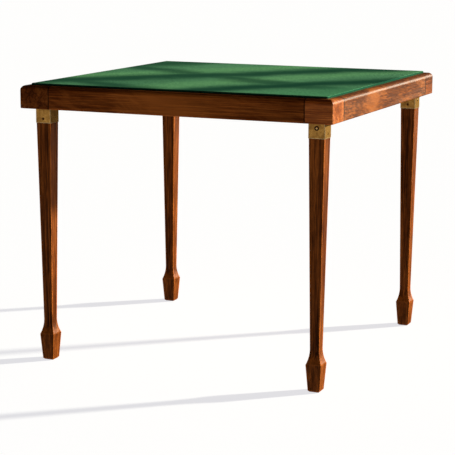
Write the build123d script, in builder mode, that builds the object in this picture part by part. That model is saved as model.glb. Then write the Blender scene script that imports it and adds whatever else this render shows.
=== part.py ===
from build123d import *

import os
from dataclasses import dataclass

# Folding games table, standing unfolded. Millimetres, +Z up, the front is -Y, the right is +X.
# The origin is on the floor under the middle of the top.

# Whole table
table_width = 830.0
table_depth = 830.0
table_height = 718.0

# Top panel and its cloth
panel_thickness = 14.0
panel_corner_round = 3.0
panel_edge_round = 1.5
panel_gap = 0.6
cloth_thickness = 1.0
cloth_rise = 5.0

# Apron of rails and corner blocks
band_width = 20.0
bullnose_radius = 12.0
apron_bottom_round = 3.0
apron_corner_round = 1.2
inner_cheek = 9.5
dowel_radius = 4.0
dowel_length = 29.0
dowel_height_shares = (0.33, 0.67)

# Legs
leg_inset = 28.0
leg_head_width = 39.6
ankle_width = 24.2
foot_width = 30.4
ankle_height = 108.0
spade_height = 68.0
spade_set_back = 1.05
foot_chamfer = 3.5

# Room for the folded legs
fold_flush = 0.95
fold_headroom = 5.0
fold_side_room = 2.0

# Brass leg heads
cap_wall = 1.2
cap_drop = 38.0
cap_chamfer = 0.6

# Pivot pins
pin_radius = 4.0
pin_socket_depth = 14.0
pin_head_radius = 6.5
pin_head_thickness = 2.0

# Spring catches
button_drop = 13.0
button_radius = 2.5
button_proud = 1.0
button_dome = 0.8
button_ring_radius = 5.2
nose_arm = 14.0
nose_radius = 3.0
nose_reach = 2.5
nose_ease = 0.6
rivet_radius = 1.2
rivet_head_radius = 2.2
rivet_head_height = 0.9
leaf_thickness = 0.8
leaf_width = 12.0
leaf_tang = 6.0
leaf_root_rise = 4.0
leaf_tip_margin = 5.0
leaf_pocket_depth = 7.5

# Keeper plates
keeper_thickness = 1.5
keeper_margin = 2.5
keeper_screw_shift = 11.0

# Screws
small_screw_radius = 1.4
small_screw_head_radius = 2.7
small_screw_length = 9.0
cap_screw_rise = 11.0
panel_screw_radius = 1.75
panel_screw_head_radius = 3.4
panel_screw_bite = 8.0
panel_screw_shift = 14.0
screw_slot_width = 0.7
screw_slot_depth = 0.5

# Clearances and the overrun of cuts
leg_side_gap = 0.5
running_gap = 0.06
seat_gap = 0.05
spring_gap = 0.3
nose_gap = 0.5
overrun = 5.0

# Sizes and levels that follow
half_width = table_width / 2
half_depth = table_depth / 2
head_half = leg_head_width / 2
cap_half = head_half + seat_gap + cap_wall
spade_half = cap_half - spade_set_back
pin_inset = leg_inset + cap_half
slot_half = cap_half + leg_side_gap
rail_thickness = leg_inset - fold_side_room
wood_top = table_height - cloth_rise
panel_seat = table_height - cloth_thickness - panel_thickness
pin_level = panel_seat - fold_headroom - cap_half
apron_bottom = pin_level - cap_half - fold_flush
apron_height = wood_top - apron_bottom
cap_bottom = apron_bottom - cap_drop
button_level = apron_bottom - button_drop
nose_level = pin_level - nose_arm
leaf_root_level = cap_bottom + leaf_root_rise
leaf_tip_level = nose_level + leaf_tip_margin
leaf_face = head_half - spring_gap

# A corner block reaches from its two outer faces to these places, as seen from its pivot pin
fold_end = -cap_half
cross_end = slot_half + inner_cheek
block_fold_length = pin_inset - fold_end
block_cross_length = pin_inset + cross_end

centre = (Align.CENTER, Align.CENTER, Align.CENTER)
sunk = (Align.CENTER, Align.CENTER, Align.MAX)
raised = (Align.CENTER, Align.CENTER, Align.MIN)


@dataclass
class Corner:
    """A corner seen from its pivot pin: u points outwards, against the fold, and v across it, inwards."""

    name: str
    sign_x: int
    sign_y: int
    u_dir: tuple

    @property
    def frame(self):
        place = (self.sign_x * (half_width - pin_inset), self.sign_y * (half_depth - pin_inset), 0)
        return Plane(place, x_dir=self.u_dir, z_dir=(0, 0, 1))

    def point(self, u, v, level):
        return self.frame.from_local_coords((u, v, level))

    def plan(self, level):
        """Level plane: sketch x is u and sketch y is v."""
        return self.frame.offset(level)

    def side(self, v):
        """Upright plane at v, facing outwards: sketch x is u and sketch y is height."""
        return Plane(self.point(0, v, 0), x_dir=self.frame.x_dir, z_dir=-self.frame.y_dir)

    def end(self, u):
        """Upright plane at u, facing outwards: sketch x is v and sketch y is height."""
        return Plane(self.point(u, 0, 0), x_dir=self.frame.y_dir, z_dir=self.frame.x_dir)

    def facing(self, u, v, level, direction):
        """A place on a face that looks along direction, which is given in u, v and height."""
        outward = self.frame.x_dir * direction[0] + self.frame.y_dir * direction[1]
        outward = outward + Vector(0, 0, direction[2])
        return Plane(self.point(u, v, level), z_dir=outward).location


corners = [
    Corner("front_right", 1, -1, (1, 0, 0)),
    Corner("back_right", 1, 1, (0, 1, 0)),
    Corner("back_left", -1, 1, (-1, 0, 0)),
    Corner("front_left", -1, -1, (0, -1, 0)),
]

os.makedirs("parts", exist_ok=True)


def write(piece, label):
    piece.part.label = label
    export_step(piece.part, f"parts/{label}.step")


def rectangle(low_x, low_y, high_x, high_y):
    """A rectangle in the running sketch, from its low corner to its high corner."""
    with Locations(((low_x + high_x) / 2, (low_y + high_y) / 2)):
        Rectangle(high_x - low_x, high_y - low_y)


def screw(radius, head_radius, length, mode=Mode.ADD):
    """A countersunk screw, or the hole for one, flush with the face at each running location."""
    Cylinder(radius, length, align=sunk, mode=mode)
    Cone(radius, head_radius, head_radius - radius, align=sunk, mode=mode)


def small_screw_bore():
    """The hole for a small screw's shank at each running location."""
    Cylinder(small_screw_radius + seat_gap, small_screw_length + seat_gap, align=sunk, mode=Mode.SUBTRACT)


def small_screw_seat():
    """The countersunk hole for a small screw at each running location."""
    bore_radius = small_screw_radius + seat_gap
    screw(bore_radius, small_screw_head_radius + seat_gap, small_screw_length, Mode.SUBTRACT)


def screw_slot(head_radius):
    Box(2 * head_radius, screw_slot_width, screw_slot_depth, align=sunk, mode=Mode.SUBTRACT)


def screw_group(label, places, radius, head_radius, length):
    with BuildPart() as screws:
        with Locations(*places):
            screw(radius, head_radius, length)
            screw_slot(head_radius)
    write(screws, label)


# Places that several pieces share

def dowel_levels():
    return [apron_bottom + share * apron_height for share in dowel_height_shares]


def keeper_screw_places(corner):
    shifts = ((keeper_screw_shift, -keeper_screw_shift), (-keeper_screw_shift, keeper_screw_shift))
    return [corner.facing(u, -slot_half, pin_level + rise, (0, 1, 0)) for u, rise in shifts]


def panel_screw_places(corner):
    v = (slot_half + cross_end) / 2
    return [corner.facing(u, v, apron_bottom, (0, 0, -1)) for u in (-panel_screw_shift, panel_screw_shift)]


def cap_screw_places(corner):
    level = cap_bottom + cap_screw_rise
    return [corner.facing(way * cap_half, 0, level, (way, 0, 0)) for way in (-1, 1)]


panel_screw_length = panel_seat - apron_bottom + panel_screw_bite


# Apron

def apron_section(sketch, outer, inner):
    """The apron's section in the running sketch, rounded at its outer face, which is at x = outer."""
    rectangle(min(outer, inner), apron_bottom, max(outer, inner), wood_top)
    outer_side = -1 if outer > inner else 0
    corner_points = sketch.vertices().group_by(Axis.X)[outer_side].sort_by(Axis.Y)
    fillet(corner_points[-1], radius=bullnose_radius)
    corner_points = sketch.vertices().group_by(Axis.X)[outer_side].sort_by(Axis.Y)
    fillet(corner_points[0], radius=apron_bottom_round)


def make_rail(label, section_plane, length):
    """A rail that starts on section_plane, whose sketch x is the depth behind the outer face."""
    with BuildPart() as rail:
        with BuildSketch(section_plane) as section:
            apron_section(section, 0, rail_thickness)
        extrude(amount=length)
        with BuildSketch(section_plane):
            rectangle(band_width, panel_seat, rail_thickness + overrun, wood_top + overrun)
        extrude(amount=length, mode=Mode.SUBTRACT)
        depth = dowel_length / 2 + seat_gap
        for start in (0, length - depth):
            with BuildSketch(section_plane.offset(start)):
                with Locations(*[(rail_thickness / 2, level) for level in dowel_levels()]):
                    Circle(dowel_radius + seat_gap)
            extrude(amount=depth, mode=Mode.SUBTRACT)
    write(rail, label)


# Each rail runs from the wide side of one block to the narrow side of the next, anticlockwise
block_loss = block_fold_length + block_cross_length
front_start = Plane((block_cross_length - half_width, -half_depth, 0), x_dir=(0, 1, 0), z_dir=(1, 0, 0))
right_start = Plane((half_width, block_cross_length - half_depth, 0), x_dir=(-1, 0, 0), z_dir=(0, 1, 0))
back_start = Plane((half_width - block_cross_length, half_depth, 0), x_dir=(0, -1, 0), z_dir=(-1, 0, 0))
left_start = Plane((-half_width, half_depth - block_cross_length, 0), x_dir=(1, 0, 0), z_dir=(0, -1, 0))

make_rail("front_rail", front_start, table_width - block_loss)
make_rail("right_rail", right_start, table_depth - block_loss)
make_rail("back_rail", back_start, table_width - block_loss)
make_rail("left_rail", left_start, table_depth - block_loss)


def keeper_outline(gap=0):
    """The keeper plate's outline in the running side sketch, grown by gap."""
    low = nose_arm + nose_radius + nose_gap + keeper_margin + gap
    high = nose_arm + keeper_margin + gap
    rectangle(-low, pin_level - low, high, pin_level + high)


def nose_track():
    """The quarter track of the catch nose in the running side sketch."""
    with BuildLine(mode=Mode.PRIVATE) as track:
        CenterArc((0, pin_level), nose_arm, 180, 90)
    SlotArc(track.edge(), 2 * (nose_radius + nose_gap))


def pin_circle(gap):
    """The pivot pin's circle in the running side sketch, grown by gap."""
    with Locations((0, pin_level)):
        Circle(pin_radius + gap)


def make_block(corner):
    """A corner block, slotted for the leg head from below and from the fold side."""
    with BuildPart() as block:
        with BuildSketch(corner.side(-pin_inset)) as fold_section:
            apron_section(fold_section, pin_inset, fold_end)
        extrude(amount=-block_cross_length)
        with BuildSketch(corner.end(fold_end)) as cross_section:
            apron_section(cross_section, -pin_inset, cross_end)
        extrude(amount=block_fold_length, mode=Mode.INTERSECT)
        upright = block.edges().filter_by(Axis.Z)
        arris = upright.sort_by_distance(corner.point(pin_inset, -pin_inset, apron_bottom))[0]
        fillet(arris, radius=apron_corner_round)

        band_inner = pin_inset - band_width
        with BuildSketch(corner.plan(panel_seat)):
            rectangle(fold_end - overrun, -band_inner, band_inner, cross_end + overrun)
        extrude(amount=wood_top - panel_seat + overrun, mode=Mode.SUBTRACT)
        with BuildSketch(corner.plan(apron_bottom - overrun)):
            rectangle(fold_end - overrun, -slot_half, slot_half, slot_half)
        extrude(amount=panel_seat - apron_bottom + 2 * overrun, mode=Mode.SUBTRACT)

        with BuildSketch(corner.side(-slot_half)):
            keeper_outline(seat_gap)
        extrude(amount=keeper_thickness + seat_gap, mode=Mode.SUBTRACT)
        with BuildSketch(corner.side(-slot_half)):
            nose_track()
        extrude(amount=cap_half + nose_reach + nose_gap - slot_half, mode=Mode.SUBTRACT)
        with BuildSketch(corner.side(-slot_half)):
            pin_circle(seat_gap)
        extrude(amount=pin_socket_depth + seat_gap, mode=Mode.SUBTRACT)
        with BuildSketch(corner.side(slot_half)):
            pin_circle(seat_gap)
        extrude(amount=-inner_cheek, mode=Mode.SUBTRACT)

        dowel_depth = dowel_length / 2 + seat_gap
        with BuildSketch(corner.end(fold_end)):
            with Locations(*[(rail_thickness / 2 - pin_inset, level) for level in dowel_levels()]):
                Circle(dowel_radius + seat_gap)
        extrude(amount=dowel_depth, mode=Mode.SUBTRACT)
        with BuildSketch(corner.side(cross_end)):
            with Locations(*[(pin_inset - rail_thickness / 2, level) for level in dowel_levels()]):
                Circle(dowel_radius + seat_gap)
        extrude(amount=dowel_depth, mode=Mode.SUBTRACT)

        with Locations(*keeper_screw_places(corner)):
            small_screw_bore()
        with Locations(*panel_screw_places(corner)):
            bore_radius = panel_screw_radius + seat_gap
            screw(bore_radius, panel_screw_head_radius + seat_gap, panel_screw_length, Mode.SUBTRACT)
    write(block, f"corner_block_{corner.name}")


def make_dowels():
    """The dowels of all rail ends, half in the rail and half in the block."""
    with BuildPart() as dowels:
        for corner in corners:
            for level in dowel_levels():
                fold_side = corner.facing(fold_end, rail_thickness / 2 - pin_inset, level, (1, 0, 0))
                cross_side = corner.facing(pin_inset - rail_thickness / 2, cross_end, level, (0, 1, 0))
                with Locations(fold_side, cross_side):
                    Cylinder(dowel_radius, dowel_length, align=centre)
    write(dowels, "rail_dowels")


def make_keeper(corner):
    with BuildPart() as keeper:
        with BuildSketch(corner.side(-slot_half)):
            keeper_outline()
        extrude(amount=keeper_thickness)
        with BuildSketch(corner.side(-slot_half)):
            nose_track()
            pin_circle(seat_gap)
        extrude(amount=keeper_thickness, mode=Mode.SUBTRACT)
        with Locations(*keeper_screw_places(corner)):
            small_screw_seat()
    write(keeper, f"keeper_plate_{corner.name}")


def make_pivot_pins():
    """Four headed pins, each from its head on the inner cheek to its socket in the outer cheek."""
    pin_length = cross_end + slot_half + pin_socket_depth
    with BuildPart() as pins:
        with Locations(*[corner.facing(0, cross_end, pin_level, (0, 1, 0)) for corner in corners]):
            Cylinder(pin_radius, pin_length, align=sunk)
            Cylinder(pin_head_radius, pin_head_thickness, align=raised)
    write(pins, "pivot_pins")


# Top panel and baize

panel_width = table_width - 2 * (band_width + panel_gap + cloth_thickness)
panel_depth = table_depth - 2 * (band_width + panel_gap + cloth_thickness)


def panel_outline(grow):
    """The panel's outline in the running sketch, grown by grow."""
    RectangleRounded(panel_width + 2 * grow, panel_depth + 2 * grow, panel_corner_round + grow)


def make_panel():
    with BuildPart() as panel:
        with BuildSketch(Plane.XY.offset(panel_seat)):
            panel_outline(0)
        extrude(amount=panel_thickness)
        fillet(panel.faces().sort_by(Axis.Z)[-1].edges(), radius=panel_edge_round)
        for corner in corners:
            with Locations(*panel_screw_places(corner)):
                radius = panel_screw_radius + seat_gap
                Cylinder(radius, panel_screw_length + seat_gap, align=sunk, mode=Mode.SUBTRACT)
    write(panel, "top_panel")


def make_baize():
    """The cloth: a sheet over the panel, turned down over its edges."""
    with BuildPart() as lining:
        with BuildSketch(Plane.XY.offset(panel_seat)):
            panel_outline(0)
        extrude(amount=panel_thickness)
        fillet(lining.faces().sort_by(Axis.Z)[-1].edges(), radius=panel_edge_round)
    with BuildPart() as baize:
        with BuildSketch(Plane.XY.offset(panel_seat + seat_gap)):
            panel_outline(cloth_thickness)
        extrude(amount=panel_thickness + cloth_thickness - seat_gap)
        fillet(baize.faces().sort_by(Axis.Z)[-1].edges(), radius=panel_edge_round + cloth_thickness)
        add(lining.part, mode=Mode.SUBTRACT)
    write(baize, "baize")


# Legs

def leg_view(round_head):
    """One side view of a leg, with its head round about the pin or square: x across, y the height."""
    ankle_half = ankle_width / 2
    foot_half = foot_width / 2
    head_top = pin_level if round_head else pin_level + head_half
    with BuildSketch() as view:
        with BuildLine() as outline:
            foot = Polyline(
                (0, 0),
                (foot_half - foot_chamfer, 0),
                (foot_half, foot_chamfer),
                (spade_half, spade_height),
            )
            shaft = Polyline(
                (ankle_half, ankle_height),
                (head_half, cap_bottom),
                (head_half, head_top),
                (0, head_top),
            )
            taper = (ankle_half - head_half, ankle_height - cap_bottom)
            TangentArc(shaft @ 0, foot @ 1, tangent=taper)
            mirror(outline.line, about=Plane.YZ)
        make_face()
        if round_head:
            with Locations((0, pin_level)):
                Circle(head_half)
    return view.sketch


def make_leg(corner):
    with BuildPart() as leg:
        with BuildSketch(corner.side(0)):
            add(leg_view(round_head=True))
        extrude(amount=cap_half, both=True)
        with BuildSketch(corner.end(0)):
            add(leg_view(round_head=False))
        extrude(amount=cap_half, both=True, mode=Mode.INTERSECT)

        with BuildSketch(corner.side(0)):
            pin_circle(running_gap)
        extrude(amount=cap_half, both=True, mode=Mode.SUBTRACT)
        with BuildSketch(corner.side(-head_half)):
            pocket_half = leaf_width / 2 + spring_gap
            pocket_bottom = leaf_root_level - leaf_thickness - nose_gap
            rectangle(-pocket_half, pocket_bottom, pocket_half, leaf_tip_level + spring_gap)
        extrude(amount=-leaf_pocket_depth, mode=Mode.SUBTRACT)
        with Locations(*cap_screw_places(corner)):
            small_screw_bore()
            small_screw_seat()
    write(leg, f"leg_{corner.name}")


def make_cap(corner):
    """The brass leg head: a box round the wood, closed over the rounded top, open at the bottom."""
    with BuildPart() as cap:
        with BuildSketch(corner.side(0)):
            rectangle(-cap_half, cap_bottom, cap_half, pin_level)
            with Locations((0, pin_level)):
                Circle(cap_half)
        extrude(amount=cap_half, both=True)
        chamfer(cap.edges(), length=cap_chamfer)
        with BuildSketch(corner.side(0)):
            cavity_half = head_half + seat_gap
            rectangle(-cavity_half, cap_bottom - overrun, cavity_half, pin_level)
            with Locations((0, pin_level)):
                Circle(cavity_half)
        extrude(amount=head_half + seat_gap, both=True, mode=Mode.SUBTRACT)
        with BuildSketch(corner.side(0)):
            pin_circle(running_gap)
        extrude(amount=cap_half, both=True, mode=Mode.SUBTRACT)
        with BuildSketch(corner.side(-cap_half)):
            with Locations((0, button_level)):
                Circle(button_ring_radius)
            with Locations((0, nose_level)):
                Circle(nose_radius + nose_gap)
        extrude(amount=-cap_wall - seat_gap, mode=Mode.SUBTRACT)
        with Locations(*cap_screw_places(corner)):
            small_screw_seat()
    write(cap, f"leg_cap_{corner.name}")


# Spring catches

def make_leaf(corner):
    """The leaf spring: an upright strip behind the cap, bent into a tang at its root."""
    with BuildPart() as leaf:
        with BuildSketch(corner.side(-leaf_face)):
            rectangle(-leaf_width / 2, leaf_root_level, leaf_width / 2, leaf_tip_level)
        extrude(amount=-leaf_thickness)
        with BuildSketch(corner.side(-leaf_face)):
            rectangle(-leaf_width / 2, leaf_root_level - leaf_thickness, leaf_width / 2, leaf_root_level)
        extrude(amount=-leaf_tang)
        with BuildSketch(corner.side(-leaf_face)):
            with Locations((0, button_level), (0, nose_level)):
                Circle(rivet_radius + seat_gap)
        extrude(amount=-leaf_thickness, mode=Mode.SUBTRACT)
    write(leaf, f"catch_leaf_{corner.name}")


def make_stud(label, corner, level, radius, reach, ease):
    """A stud riveted through the leaf, standing out through the cap to the given reach."""
    with BuildPart() as stud:
        with Locations(corner.facing(0, -leaf_face, level, (0, -1, 0))):
            Cylinder(radius, reach - leaf_face, align=raised)
            Cylinder(rivet_radius, leaf_thickness + rivet_head_height, align=sunk)
        with Locations(corner.facing(0, leaf_thickness - leaf_face, level, (0, 1, 0))):
            Cylinder(rivet_head_radius, rivet_head_height, align=raised)
        tip_edges = stud.edges().filter_by(GeomType.CIRCLE)
        tip = tip_edges.sort_by_distance(corner.point(0, -reach, level))[0]
        fillet(tip, radius=ease)
    write(stud, label)


make_dowels()
make_pivot_pins()
make_panel()
make_baize()
for corner in corners:
    make_block(corner)
    make_keeper(corner)
    make_leg(corner)
    make_cap(corner)
    make_leaf(corner)
    button_tip = cap_half + button_proud
    make_stud(f"catch_button_{corner.name}", corner, button_level, button_radius, button_tip, button_dome)
    nose_tip = cap_half + nose_reach
    make_stud(f"catch_nose_{corner.name}", corner, nose_level, nose_radius, nose_tip, nose_ease)
    screw_group(
        f"cap_screws_{corner.name}",
        cap_screw_places(corner),
        small_screw_radius,
        small_screw_head_radius,
        small_screw_length,
    )

screw_group(
    "keeper_screws",
    [place for corner in corners for place in keeper_screw_places(corner)],
    small_screw_radius,
    small_screw_head_radius,
    small_screw_length,
)
screw_group(
    "panel_screws",
    [place for corner in corners for place in panel_screw_places(corner)],
    panel_screw_radius,
    panel_screw_head_radius,
    panel_screw_length,
)
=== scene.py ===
import math

import bmesh
import bpy
from mathutils import Matrix, Vector
from mathutils import noise as vector_noise


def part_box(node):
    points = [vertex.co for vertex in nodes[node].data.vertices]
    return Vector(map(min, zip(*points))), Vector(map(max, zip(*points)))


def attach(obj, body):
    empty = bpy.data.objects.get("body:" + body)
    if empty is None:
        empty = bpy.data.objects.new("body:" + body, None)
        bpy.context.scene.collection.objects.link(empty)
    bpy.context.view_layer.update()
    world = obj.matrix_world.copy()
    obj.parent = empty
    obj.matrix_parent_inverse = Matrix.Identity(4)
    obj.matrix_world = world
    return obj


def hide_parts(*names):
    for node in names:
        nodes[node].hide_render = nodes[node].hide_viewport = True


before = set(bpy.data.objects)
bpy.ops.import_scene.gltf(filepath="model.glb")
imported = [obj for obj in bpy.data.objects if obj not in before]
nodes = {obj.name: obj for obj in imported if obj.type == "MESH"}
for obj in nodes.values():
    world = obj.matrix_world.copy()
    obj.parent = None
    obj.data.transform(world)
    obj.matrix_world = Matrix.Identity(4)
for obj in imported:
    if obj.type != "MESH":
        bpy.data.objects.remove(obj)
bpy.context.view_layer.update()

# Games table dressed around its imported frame. Metres, +Z up, the front is -Y, the right is +X.

corners = ("front_right", "back_right", "back_left", "front_left")


# Node helpers

class Nodes:
    """A node tree, with short calls for the nodes used here."""

    def __init__(self, tree):
        self.tree = tree

    def add(self, kind, **settings):
        node = self.tree.nodes.new(kind)
        for key, value in settings.items():
            setattr(node, key, value)
        return node

    def feed(self, socket, value):
        if isinstance(value, bpy.types.NodeSocket):
            self.tree.links.new(value, socket)
        else:
            socket.default_value = value

    def math(self, operation, first, second=0.0):
        node = self.add("ShaderNodeMath", operation=operation)
        self.feed(node.inputs[0], first)
        self.feed(node.inputs[1], second)
        return node.outputs[0]

    def times(self, first, second):
        return self.math("MULTIPLY", first, second)

    def apart(self, first, second):
        """How far two values lie from each other."""
        return self.math("ABSOLUTE", self.math("SUBTRACT", first, second))

    def vector_math(self, operation, first, second):
        node = self.add("ShaderNodeVectorMath", operation=operation)
        self.feed(node.inputs[0], first)
        self.feed(node.inputs[1], second)
        return node.outputs["Value"]

    def axes(self, vector):
        node = self.add("ShaderNodeSeparateXYZ")
        self.feed(node.inputs["Vector"], vector)
        return node.outputs

    def span(self, value, low, high, new_low=0.0, new_high=1.0, shape="SMOOTHSTEP"):
        """A value brought from one range to another, held at the ends."""
        node = self.add("ShaderNodeMapRange", interpolation_type=shape)
        self.feed(node.inputs["Value"], value)
        node.inputs["From Min"].default_value = low
        node.inputs["From Max"].default_value = high
        node.inputs["To Min"].default_value = new_low
        node.inputs["To Max"].default_value = new_high
        return node.outputs["Result"]


class Finish(Nodes):
    """A material laid out by the object's own coordinates."""

    def __init__(self, name):
        self.material = bpy.data.materials.new(name)
        self.material.use_nodes = True
        super().__init__(self.material.node_tree)
        self.shader = self.tree.nodes["Principled BSDF"]
        self.place = self.add("ShaderNodeTexCoord").outputs["Object"]

    def per_metre(self, counts, offset=(0, 0, 0)):
        """Coordinates with so many units to the metre along each axis."""
        node = self.add("ShaderNodeMapping")
        self.feed(node.inputs["Vector"], self.place)
        node.inputs["Location"].default_value = offset
        node.inputs["Scale"].default_value = counts
        return node.outputs["Vector"]

    def turned(self, lengths, offset=(0, 0, 0), turn=(0, 0, 0)):
        """Coordinates along turned axes, one unit for each of the given lengths in metres."""
        node = self.add("ShaderNodeMapping", vector_type="TEXTURE")
        self.feed(node.inputs["Vector"], self.place)
        node.inputs["Location"].default_value = offset
        node.inputs["Rotation"].default_value = turn
        node.inputs["Scale"].default_value = lengths
        return node.outputs["Vector"]

    def noise(self, vector, detail, rough, bend=0.0):
        node = self.add("ShaderNodeTexNoise")
        self.feed(node.inputs["Vector"], vector)
        node.inputs["Scale"].default_value = 1.0
        node.inputs["Detail"].default_value = detail
        node.inputs["Roughness"].default_value = rough
        node.inputs["Distortion"].default_value = bend
        return node.outputs["Fac"]

    def ramp(self, value, *stops):
        node = self.add("ShaderNodeValToRGB")
        self.feed(node.inputs["Fac"], value)
        band = node.color_ramp
        while len(band.elements) < len(stops):
            band.elements.new(0.5)
        for element, (place, colour) in zip(band.elements, stops):
            element.position = place
            element.color = (*colour, 1.0)
        return node.outputs["Color"]

    def mix(self, fac, first, second):
        node = self.add("ShaderNodeMix", data_type="RGBA", blend_type="MIX")
        self.feed(node.inputs["Factor"], fac)
        for socket, value in ((node.inputs["A"], first), (node.inputs["B"], second)):
            if isinstance(value, tuple):
                value = (*value, 1.0)
            self.feed(socket, value)
        return node.outputs["Result"]

    def bump(self, height, distance, strength):
        node = self.add("ShaderNodeBump")
        self.feed(node.inputs["Height"], height)
        node.inputs["Distance"].default_value = distance
        node.inputs["Strength"].default_value = strength
        return node.outputs["Normal"]

    def edge(self, radius):
        """One where the surface lies within radius of a sharp edge.

        It is told by how far the surface's normal turns where the edge is rounded off.
        """
        soft = self.add("ShaderNodeBevel", samples=6)
        soft.inputs["Radius"].default_value = radius
        flat = self.add("ShaderNodeNewGeometry")
        likeness = self.vector_math("DOT_PRODUCT", soft.outputs["Normal"], flat.outputs["Normal"])
        least, most = 0.004, 0.1
        return self.span(likeness, 1 - least, 1 - most)

    def set(self, **values):
        for key, value in values.items():
            self.feed(self.shader.inputs[key.replace("_", " ")], value)
        return self.material


def shaded(colour, amount):
    return tuple(amount * part for part in colour)


# Wood finishes

# Sizes of the wood's figure: the length along the grain and the width across it
broad_size = (0.35, 0.030)
streak_size = (0.22, 0.0042)
fine_size = (0.060, 0.0013)
pore_size = (0.007, 0.0004)
cloud_size = (0.110, 0.030)
ribbon_size = (0.024, 0.0026)
# Steps from one seed's figure to the next
figure_step = (0.137, 0.211, 0.073)
cloud_step = (0.31, 0.17, 0.05)
# The axis about which the cloud and the ribbon lean, for each direction of the grain
lean_axes = {"X": 1, "Y": 0, "Z": 0}
# How far the cloud bends the ends of each patch of figure and painted light and shade, in metres
light_patch_wander = 0.3
# Tints the polish's mirror light as the stain under it does
polish_tint = (1.0, 0.72, 0.42, 1.0)


def wood(name, grain, seed, dark, mid, light, figure=0.55, mottle=0.3, polish=0.05, tone=1.0,
         seams=(), highlight_and_pale_zones=(), figure_and_light_patches=(), worn=1.2, wear_reach=0.0028, ribbon=0.0, lean=24):
    """Polished mahogany with its grain along one axis of the table.

    figure is the streaks' share against the broad tones, mottle the depth of the cloud and ribbon that
    of short dashes, and both lean by so many degrees. worn is how pale the edges are within wear_reach.
    Each seam is an axis, a place on it and a width, and gets a dark line. Each pale zone is four heights,
    between which it comes and goes, and an amount by which it is painted paler; on the legs' foot slopes
    it is a painted highlight. Each patch is a place along the grain, a reach and an amount: pale, or dark
    where the amount is below zero, partly the wood's figure and partly painted light and painted shade.
    """
    t = Finish(name)
    axis = "XYZ".index(grain)
    dark, mid, light = (shaded(colour, tone) for colour in (dark, mid, light))
    slant = [0.0, 0.0, 0.0]
    slant[lean_axes[grain]] = math.radians(lean)

    def grained(size, step=figure_step, turn=(0, 0, 0)):
        """Coordinates with one unit for the size's length along the grain and for its width across it."""
        length, width = size
        lengths = [width] * 3
        lengths[axis] = length
        return t.turned(tuple(lengths), shaded(step, seed), tuple(turn))

    broad = t.noise(grained(broad_size), detail=2, rough=0.5, bend=0.3)
    streak = t.noise(grained(streak_size), detail=5, rough=0.65, bend=0.5)
    fine = t.noise(grained(fine_size), detail=3, rough=0.6, bend=0.2)
    pores = t.noise(grained(pore_size), detail=1, rough=0.5)
    cloud = t.noise(grained(cloud_size, cloud_step, slant), detail=3, rough=0.55, bend=0.6)

    shade = t.math("ADD", t.times(streak, figure), t.times(broad, 1 - figure))
    base = t.ramp(shade, (0.40, dark), (0.49, mid), (0.60, light))
    base = t.mix(t.span(fine, 0.42, 0.60, 0.0, 0.7), base, dark)
    base = t.mix(t.span(cloud, 0.46, 0.66, 0.0, mottle), base, light)
    base = t.mix(t.span(cloud, 0.42, 0.26, 0.0, mottle), base, dark)
    if ribbon:
        dash = t.noise(grained(ribbon_size, (0, 0, 0), slant), detail=2, rough=0.5, bend=0.4)
        base = t.mix(t.span(dash, 0.50, 0.64, 0.0, ribbon), base, light)
        base = t.mix(t.span(dash, 0.48, 0.36, 0.0, ribbon), base, dark)
    pore = t.span(pores, 0.60, 0.70)
    base = t.mix(t.times(pore, 0.5), base, shaded(dark, 0.4))
    place = t.axes(t.place)
    # Zones painted paler: on the legs' foot slopes this is a painted highlight
    for low, full, fade, high, amount in highlight_and_pale_zones:
        zone = t.times(t.span(place["Z"], low, full), t.span(place["Z"], high, fade))
        base = t.mix(t.times(zone, amount), base, shaded(light, 1.4))
    # Patches of figure, with painted light where pale and painted shade where dark
    for middle, reach, amount in figure_and_light_patches:
        wandering = t.math("ADD", place[axis], t.times(t.math("SUBTRACT", cloud, 0.5), light_patch_wander))
        tint = shaded(light, 1.1) if amount > 0 else dark
        base = t.mix(t.span(t.apart(wandering, middle), reach, 0.0, 0.0, abs(amount)), base, tint)
    wear = t.times(t.edge(wear_reach), t.span(cloud, 0.35, 0.6, 0.3, 0.9))
    lines = []
    for side, middle, width in seams:
        off = t.apart(place[side], middle)
        wear = t.times(wear, t.span(off, width, 2 * width))
        lines.append(t.span(off, 0.4 * width, width, 0.9, 0.0))
    base = t.mix(wear, base, shaded(light, worn))
    for line in lines:
        base = t.mix(line, base, shaded(dark, 0.15))
    gloss = t.math("ADD", t.span(broad, 0.3, 0.7, 0.27, 0.35), t.times(fine, 0.08))
    relief = t.math("SUBTRACT", t.times(streak, 0.4), t.times(pore, 0.12))
    return t.set(
        Base_Color=base,
        Roughness=gloss,
        Normal=t.bump(relief, 0.0002, 0.35),
        Coat_Weight=0.1 * polish,
        Coat_Roughness=0.3,
        Specular_IOR_Level=polish,
        Specular_Tint=polish_tint,
    )


red_brown = dict(dark=(0.050, 0.0090, 0.0008), mid=(0.150, 0.031, 0.0036), light=(0.300, 0.082, 0.013))
leg_brown = dict(dark=(0.026, 0.0048, 0.0006), mid=(0.112, 0.0240, 0.0030), light=(0.250, 0.064, 0.0090))
pale_wood = dict(dark=(0.30, 0.16, 0.07), mid=(0.42, 0.25, 0.12), light=(0.55, 0.36, 0.19))
panel_wood = dict(dark=(0.22, 0.12, 0.06), mid=(0.34, 0.20, 0.10), light=(0.46, 0.30, 0.16))
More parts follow.
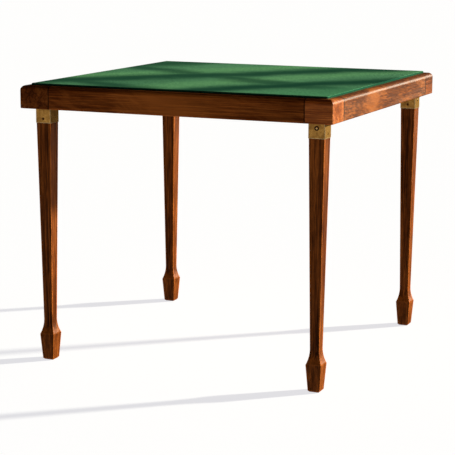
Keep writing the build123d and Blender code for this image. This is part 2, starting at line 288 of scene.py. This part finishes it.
# The rails' pale and dark patches are partly figure and partly painted light and painted shade
rails = {
    "front_rail": dict(grain="X", polish=0.04, tone=0.93, figure_and_light_patches=((-0.02, 0.22, 0.50), (0.30, 0.14, -0.35))),
    "right_rail": dict(
        grain="Y", polish=0.35, tone=0.94, mottle=0.45, ribbon=0.65, lean=-8,
        figure_and_light_patches=((-0.11, 0.085, 0.60), (-0.22, 0.08, -0.45), (0.08, 0.12, -0.50), (0.25, 0.09, -0.60)),
    ),
    "back_rail": dict(grain="X", polish=0.1, figure_and_light_patches=((0.10, 0.20, 0.25),)),
    "left_rail": dict(grain="Y", polish=0.1, figure_and_light_patches=((0.05, 0.20, 0.25),)),
}
blocks = {
    "front_right": dict(grain="X", polish=0.36, tone=1.75),
    "back_right": dict(grain="Y", polish=0.37, tone=1.3),
    "back_left": dict(grain="X", polish=0.1, tone=0.9),
    "front_left": dict(grain="Y", polish=0.05, tone=0.72),
}
# Each leg gets a painted highlight where the foot's slope meets its sides, and is paler down the foot
leg_finish = dict(grain="Z", figure=0.8, mottle=0.12, polish=0.07, worn=2.6, wear_reach=0.0036,
                  highlight_and_pale_zones=((0.066, 0.070, 0.076, 0.092, 0.24), (-0.01, 0.0, 0.055, 0.075, 0.08)))
seam_widths = {"X": 0.0021, "Y": 0.0042}


def joint_lines(*names):
    """A seam at both ends of each named rail: its axis, its place on it and its width."""
    lines = []
    for name in names:
        grain = rails[name]["grain"]
        side = "XYZ".index(grain)
        lines += [(side, end[side], seam_widths[grain]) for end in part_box(name)]
    return lines


woods = {}
for seed, (name, finish) in enumerate(rails.items(), 1):
    woods[name] = wood(f"{name}_wood", seed=seed, figure=0.7, seams=joint_lines(name),
                       **red_brown, **finish)
for seed, (corner, finish) in enumerate(blocks.items(), 5):
    meeting = [f"{side}_rail" for side in corner.split("_")]
    woods[f"corner_block_{corner}"] = wood(f"block_wood_{corner}", seed=seed, mottle=0.16,
                                           seams=joint_lines(*meeting), **red_brown, **finish)
for seed, corner in enumerate(corners, 9):
    woods[f"leg_{corner}"] = wood(f"leg_wood_{corner}", seed=seed, **leg_brown, **leg_finish)
dowel_wood = wood("dowel_wood", "X", 14, **pale_wood)
board_wood = wood("panel_board", "X", 15, **panel_wood)


# Metal finishes

# Steps from one seed's patches to the next
patch_step = (0.61, 0.37, 0.83)
brass_wear_reach = 0.0030
rubbed_brass = (1.0, 0.80, 0.46)
# The brown of the painted shade in the gaps around the catch buttons and screws, and how far it reaches
painted_shade_brown = (0.090, 0.030, 0.004)
button_shade_reach = 0.0062
screw_shade_reach = 0.0036


def brass(name, seed, rub=0.9, metal=0.80, base=(0.57, 0.30, 0.066), dull=(0.34, 0.16, 0.030),
          specular=0.5, shade_rings=()):
    """Aged brass: dull in its faces, brighter where edges are rubbed, and brown with painted shade within
    reach of each ring's middle.
    """
    t = Finish(name)
    shift = shaded(patch_step, seed)
    patch = t.noise(t.per_metre((70, 70, 70), shift), detail=4, rough=0.6, bend=0.5)
    speck = t.noise(t.per_metre((900, 900, 900), shift), detail=2, rough=0.5)
    brush = t.noise(t.per_metre((300, 300, 3000), shift), detail=2, rough=0.5)
    colour = t.mix(t.span(patch, 0.35, 0.65), dull, base)
    colour = t.mix(t.times(t.span(speck, 0.6, 0.75), 0.5), colour, shaded(dull, 0.5))
    wear = t.times(t.edge(brass_wear_reach), rub)
    rings = []
    # Rings of painted shade around the button and the screws
    for middle, reach in shade_rings:
        off = t.vector_math("DISTANCE", t.place, middle)
        wear = t.times(wear, t.span(off, reach, 1.4 * reach))
        rings.append(t.span(off, 1.1 * reach, 0.9 * reach, 0.0, 0.9))
    colour = t.mix(wear, colour, rubbed_brass)
    for ring in rings:
        colour = t.mix(ring, colour, painted_shade_brown)
    rough = t.math("ADD", t.span(patch, 0.3, 0.7, 0.28, 0.22), t.times(speck, 0.08))
    return t.set(
        Base_Color=colour,
        Metallic=metal,
        Roughness=rough,
        Normal=t.bump(brush, 0.00003, 0.3),
        Specular_IOR_Level=specular,
    )


def steel(name, seed, tint=(0.42, 0.41, 0.40)):
    """Bare steel with faint patches and scratches."""
    t = Finish(name)
    shift = shaded(patch_step, seed)
    patch = t.noise(t.per_metre((120, 120, 120), shift), detail=3, rough=0.6)
    scratch = t.noise(t.per_metre((2500, 2500, 200), shift), detail=2, rough=0.5)
    return t.set(
        Base_Color=t.mix(t.span(patch, 0.35, 0.7), tint, shaded(tint, 0.6)),
        Metallic=1.0,
        Roughness=t.span(patch, 0.3, 0.7, 0.25, 0.45),
        Normal=t.bump(scratch, 0.00004, 0.4),
    )


def cap_shade_rings(corner):
    """Rings of painted shade on a leg's brass head, around its catch button and its two screws."""
    low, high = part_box(f"catch_button_{corner}")
    shade_rings = [((low + high) / 2, button_shade_reach)]
    low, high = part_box(f"cap_screws_{corner}")
    side = 0 if high.x - low.x > high.y - low.y else 1
    for end in (low, high):
        middle = (low + high) / 2
        middle[side] = end[side]
        shade_rings.append((middle, screw_shade_reach))
    return shade_rings


brasses = {}
for seed, corner in enumerate(corners, 1):
    brasses[corner] = brass(f"brass_{corner}", seed, shade_rings=cap_shade_rings(corner))
button_brass = brass("brass_buttons", 5, rub=0.4, metal=0.6, specular=0.2,
                     base=(0.90, 0.55, 0.20), dull=(0.75, 0.42, 0.13))
# The screws are near black with no shine: painted shade for the dark slots in their heads
screw_slot_shade = brass("brass_screws", 6, rub=0.0, metal=0.0, specular=0.0,
                    base=(0.070, 0.024, 0.004), dull=(0.040, 0.014, 0.002))
plate_steel = steel("steel_plates", 1)
spring_steel = steel("steel_springs", 2, tint=(0.13, 0.065, 0.025))


# Baize

# Bands of painted shadow and painted light across the cloth: the angle from +X in degrees, the place
# across it, the half width and the depth of tone
painted_shadow_bands = (
    (46.3, 0.066, 0.120, 0.90),
    (51.8, -0.278, 0.095, 0.95),
    (-28.6, -0.036, 0.080, 0.75),
    (50.0, 0.470, 0.130, 0.80),
    (-25.0, -0.398, 0.080, 0.80),
)
painted_light_bands = (
    (52.0, 0.192, 0.095, 0.85),
    (60.0, -0.110, 0.100, 0.80),
)
# A broad band of painted light across one corner of the cloth
painted_light_corner_bands = ((50.0, -0.500, 0.160, 0.90),)
felt_greens = ((0.36, (0.086, 0.250, 0.128)), (0.50, (0.104, 0.290, 0.150)), (0.64, (0.124, 0.330, 0.174)))
# The greens of the painted light and painted shadow in the bands
painted_light_green = (0.165, 0.430, 0.190)
painted_shadow_green = (0.007, 0.048, 0.030)
painted_light_corner_green = (0.095, 0.325, 0.155)
pit_green = (0.014, 0.068, 0.038)
fibre_green = (0.100, 0.240, 0.130)
# The green of the painted shade on the cloth's turned-down side
side_shade_green = (0.010, 0.050, 0.028)
# The depths below the cloth's top between which its turned-down side darkens with painted shade
side_starts = 0.00025
side_full = 0.0011
# How far the bands sway from straight, in metres
band_sway = 0.09
# The radius of the cloth's rolled edge, and the steps in it
roll = 0.0027
roll_steps = 5
# Squares across the flat part of the cloth
flat_steps = 64
cloth_thickness = 0.0009
# The unevenness of its top: the height, the waves to the metre and how far the whole is sunk for it
uneven_height = 0.00012
uneven_waves = 9
uneven_sink = 0.00008


def banded(t, sway, bands):
    """How far a point lies inside any of the bands, from 0 to the band's depth."""
    most = None
    for angle, place, half, depth in bands:
        across = t.axes(t.turned((1, 1, 1), turn=(0, 0, math.radians(angle))))["Y"]
        off = t.apart(t.math("ADD", across, sway), place)
        band = t.span(off, 0.1 * half, 1.1 * half, depth, 0.0)
        most = band if most is None else t.math("MAXIMUM", most, band)
    return most


def baize_finish(top):
    """Green wool felt with painted shadow and painted light in soft bands that cross, and painted shade on
    its turned-down side below its top.
    """
    t = Finish("baize_felt")
    fibre = t.noise(t.per_metre((1400, 1400, 1400)), detail=3, rough=0.7, bend=0.3)
    fuzz = t.noise(t.per_metre((240, 240, 240)), detail=5, rough=0.7)
    wander = t.noise(t.per_metre((9, 9, 9), (2, 1, 0)), detail=3, rough=0.5, bend=0.3)
    sway = t.times(t.math("SUBTRACT", wander, 0.5), band_sway)
    patch = t.noise(t.per_metre((3.1, 3.1, 3.1), (4, 1, 2)), detail=2, rough=0.5)
    colour = t.ramp(patch, *felt_greens)
    # Painted light and painted shadow in crossing bands
    colour = t.mix(banded(t, sway, painted_light_bands), colour, painted_light_green)
    colour = t.mix(banded(t, sway, painted_shadow_bands), colour, painted_shadow_green)
    colour = t.mix(banded(t, sway, painted_light_corner_bands), colour, painted_light_corner_green)
    colour = t.mix(t.span(fuzz, 0.36, 0.62, 0.65, 0.0), colour, pit_green)
    colour = t.mix(t.span(fibre, 0.52, 0.75, 0.0, 0.25), colour, fibre_green)
    # Painted shade on the cloth's turned-down side
    height = t.axes(t.place)["Z"]
    colour = t.mix(t.span(height, top - side_starts, top - side_full, 0.0, 0.95), colour, side_shade_green)
    relief = t.math("ADD", t.times(fibre, 0.6), t.times(fuzz, 0.4))
    return t.set(
        Base_Color=colour,
        Roughness=t.span(fuzz, 0.3, 0.7, 0.88, 0.98),
        Normal=t.bump(relief, 0.0003, 0.4),
        Specular_IOR_Level=0.0,
    )


def edge_lines(half):
    """Grid lines from -half to half, close together where the edge is rolled."""
    rolled = [half - roll * (1 - math.sin(math.pi / 2 * k / roll_steps)) for k in range(roll_steps + 1)]
    flat = [(half - roll) * (2 * k / flat_steps - 1) for k in range(1, flat_steps)]
    return sorted([-line for line in rolled] + flat + rolled)


def cloth_mesh(half, top, depth):
    """A square sheet with its edges rolled over and turned down, and its top slightly uneven."""
    lines = edge_lines(half)
    bm = bmesh.new()
    rows = [[bm.verts.new((x, y, top)) for x in lines] for y in lines]
    for below, above in zip(rows, rows[1:]):
        for k in range(len(lines) - 1):
            bm.faces.new((below[k], below[k + 1], above[k + 1], above[k]))
    ring = rows[0] + [row[-1] for row in rows[1:]] + rows[-1][-2::-1] + [row[0] for row in rows[-2:0:-1]]
    for drop in (roll * 0.3, roll * 0.65, roll, depth * 0.6, depth):
        lower = [bm.verts.new((v.co.x, v.co.y, top - drop)) for v in ring]
        for k in range(len(ring)):
            n = (k + 1) % len(ring)
            bm.faces.new((ring[k], lower[k], lower[n], ring[n]))
        ring = lower
    inner = half - roll
    for vert in bm.verts:
        core = Vector((
            max(-inner, min(inner, vert.co.x)),
            max(-inner, min(inner, vert.co.y)),
            min(top - roll, vert.co.z),
        ))
        away = vert.co - core
        if away.length > 1e-6:
            vert.co = core + away.normalized() * roll
    for vert in bm.verts:
        if vert.co.z > top - 0.0001:
            place = Vector((vert.co.x, vert.co.y, 0))
            vert.co.z += uneven_height * vector_noise.noise(place * uneven_waves) - uneven_sink
    bm.normal_update()
    mesh = bpy.data.meshes.new("baize_cloth")
    bm.to_mesh(mesh)
    bm.free()
    return mesh


def make_baize():
    """The cloth as a stretched sheet, rolled over the panel's edges."""
    low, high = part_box("baize")
    half = high.x
    depth = high.z - low.z
    mesh = cloth_mesh(half, high.z, depth)
    cloth = bpy.data.objects.new("baize_cloth", mesh)
    bpy.context.scene.collection.objects.link(cloth)
    for face in mesh.polygons:
        face.use_smooth = True
    thick = cloth.modifiers.new("thickness", "SOLIDIFY")
    thick.thickness = cloth_thickness
    thick.offset = -1
    mesh.materials.append(baize_finish(high.z))
    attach(cloth, "frame")
    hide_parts("baize")


make_baize()


# Finishes and eased edges of the CAD nodes

leg_ease = 0.0007
apron_ease = 0.0004
cap_ease = 0.0005
weld_reach = 0.00001
sharp_angle = math.radians(35)


def dress(name, material, ease=0.0):
    """Give a CAD node its finish and, where ease is above zero, edges rounded by so much."""
    piece = nodes[name]
    piece.data.materials.clear()
    piece.data.materials.append(material)
    if ease:
        weld = piece.modifiers.new("weld", "WELD")
        weld.merge_threshold = weld_reach
        bevel = piece.modifiers.new("ease", "BEVEL")
        bevel.width = ease
        bevel.segments = 2
        bevel.limit_method = "ANGLE"
        bevel.angle_limit = sharp_angle
        shade = piece.modifiers.new("shade", "WEIGHTED_NORMAL")
        shade.keep_sharp = False
        shade.weight = 80


for name, material in woods.items():
    dress(name, material, leg_ease if name.startswith("leg") else apron_ease)
dress("rail_dowels", dowel_wood)
dress("top_panel", board_wood)
for corner in corners:
    dress(f"leg_cap_{corner}", brasses[corner], cap_ease)
    dress(f"catch_nose_{corner}", brasses[corner])
    dress(f"catch_button_{corner}", button_brass)
    dress(f"cap_screws_{corner}", screw_slot_shade)
    dress(f"keeper_plate_{corner}", plate_steel)
    dress(f"catch_leaf_{corner}", spring_steel)
for name in ("pivot_pins", "keeper_screws", "panel_screws"):
    dress(name, plate_steel)


# Floor, lights and camera

floor_reach = 40.0
warm_light = (1.0, 0.88, 0.66)
backdrop_tone = (0.99, 0.985, 0.975)
# The room: the azimuth of its pale side, how fast and from what strength it fades, and the share of it
# that is left underneath
room_side = 40
room_fade = 5
room_strength = 0.3
room_underneath = 0.15
camera_place = (1.6167, -3.8326, 1.0852)
# Yaw, pitch and roll in degrees
camera_turn = (23.192, -10.523, 0.284)
camera_lens = 124.56
sensor_width = 36


def add_object(name, data):
    thing = bpy.data.objects.new(name, data)
    bpy.context.scene.collection.objects.link(thing)
    return thing


def make_floor():
    """A pale floor that glows a little, and that no polish mirrors."""
    mesh = bpy.data.meshes.new("floor")
    signs = ((-1, -1), (1, -1), (1, 1), (-1, 1))
    mesh.from_pydata([(floor_reach * x, floor_reach * y, 0) for x, y in signs], [], [(0, 1, 2, 3)])
    floor = add_object("floor", mesh)
    t = Finish("floor_pale")
    t.set(
        Base_Color=(0.32, 0.32, 0.32, 1),
        Roughness=0.95,
        Emission_Color=(0.96, 0.96, 1.0, 1),
        Emission_Strength=0.76,
        Specular_IOR_Level=0.0,
    )
    mesh.materials.append(t.material)
    floor.visible_glossy = False


def towards(azimuth, elevation):
    """A direction: its azimuth from +X towards +Y and its elevation, both in degrees."""
    a, e = math.radians(azimuth), math.radians(elevation)
    return Vector((math.cos(e) * math.cos(a), math.cos(e) * math.sin(a), math.sin(e)))


def place_lamp(name, data, aim, away, only):
    """A lamp beyond aim, facing it, for the pieces in only or, where it is empty, for everything."""
    lamp = add_object(name, data)
    lamp.location = Vector(aim) + away
    lamp.rotation_euler = away.to_track_quat("Z", "Y").to_euler()
    if only:
        lit = bpy.data.collections.new(f"{name}_lit")
        for piece in only:
            lit.objects.link(piece)
        lamp.light_linking.receiver_collection = lit
    return lamp


def make_sun(name, azimuth, elevation, strength, angle, colour, only=()):
    data = bpy.data.lights.new(name, "SUN")
    data.energy = strength
    data.angle = math.radians(angle)
    data.color = colour
    place_lamp(name, data, (0, 0, 0), 4 * towards(azimuth, elevation), only)


def make_softbox(name, azimuth, elevation, distance, size, power, colour, aim, only):
    data = bpy.data.lights.new(name, "AREA")
    data.shape = "RECTANGLE"
    data.size, data.size_y = size
    data.energy = power
    data.color = colour
    lamp = place_lamp(name, data, aim, distance * towards(azimuth, elevation), only)
    lamp.visible_camera = False


def make_world():
    """A room that is pale behind the table and to its right, and dark in front of it and underneath."""
    world = bpy.data.worlds.new("studio")
    world.use_nodes = True
    room = Nodes(world.node_tree)
    way = room.add("ShaderNodeTexCoord").outputs["Generated"]
    facing = room.vector_math("DOT_PRODUCT", way, towards(room_side, 0))
    side = room.span(facing, -1, 1, shape="LINEAR")
    level = room.times(room.math("POWER", side, room_fade), room_strength)
    above = room.span(room.axes(way)["Z"], -0.06, 0.0, room_underneath, shape="LINEAR")
    back = room.tree.nodes["Background"]
    back.inputs["Color"].default_value = (*warm_light, 1)
    room.feed(back.inputs["Strength"], room.times(level, above))
    # Past the floor's edge the picture stays as pale as the floor, in low views too
    backdrop = room.add("ShaderNodeBackground")
    backdrop.inputs["Color"].default_value = (*backdrop_tone, 1)
    choice = room.add("ShaderNodeMixShader")
    room.feed(choice.inputs["Fac"], room.add("ShaderNodeLightPath").outputs["Is Camera Ray"])
    room.feed(choice.inputs[1], back.outputs["Background"])
    room.feed(choice.inputs[2], backdrop.outputs["Background"])
    room.feed(room.tree.nodes["World Output"].inputs["Surface"], choice.outputs["Shader"])
    bpy.context.scene.world = world


def make_camera():
    """The camera at the photograph's place, found by fitting the table's corners and feet."""
    yaw, pitch, roll_angle = (math.radians(angle) for angle in camera_turn)
    forward = Vector((-math.sin(yaw) * math.cos(pitch), math.cos(yaw) * math.cos(pitch), math.sin(pitch)))
    level = Vector((math.cos(yaw), math.sin(yaw), 0))
    upward = level.cross(forward)
    right = level * math.cos(roll_angle) + upward * math.sin(roll_angle)
    up = upward * math.cos(roll_angle) - level * math.sin(roll_angle)
    turn = Matrix((right, up, -forward)).transposed().to_4x4()
    data = bpy.data.cameras.new("camera")
    data.sensor_width = sensor_width
    data.lens = camera_lens
    camera = add_object("camera", data)
    camera.matrix_world = Matrix.Translation(camera_place) @ turn
    bpy.context.scene.camera = camera


wood_pieces = [nodes[name] for name in woods]
leg_pieces = [nodes[f"leg_{corner}"] for corner in corners]
metal_kinds = ("leg_cap", "catch_button", "cap_screws")
metal_pieces = [nodes[f"{kind}_{corner}"] for kind in metal_kinds for corner in corners]

make_floor()
make_sun("key_sun", azimuth=40, elevation=15, strength=9.6, angle=2.5, colour=(1.0, 0.99, 0.84))
make_softbox("side_softbox", azimuth=12, elevation=3, distance=4.0, size=(3.0, 1.0), power=34,
             colour=warm_light, aim=(0, 0, 0.45), only=wood_pieces)
# The front left leg is the last one, and stays darker
make_softbox("leg_softbox", azimuth=24, elevation=2, distance=4.0, size=(2.0, 0.8), power=60,
             colour=(1.0, 0.80, 0.52), aim=(0, 0, 0.3), only=leg_pieces[:-1])
make_softbox("rim_softbox", azimuth=66.5, elevation=6.5, distance=3.2, size=(0.7, 0.7), power=8,
             colour=(1.0, 0.90, 0.76), aim=(0, 0, 0.7), only=wood_pieces)
make_softbox("brass_softbox", azimuth=247, elevation=-6, distance=3.0, size=(3.0, 1.2), power=6.2,
             colour=(1.0, 0.96, 0.90), aim=(0, 0, 0.7), only=metal_pieces)
make_sun("foot_sun", azimuth=66, elevation=2.0, strength=0.2, angle=9.0, colour=(1.0, 0.92, 0.80),
         only=leg_pieces)
make_world()
make_camera()
bpy.context.scene.view_settings.view_transform = "Standard"
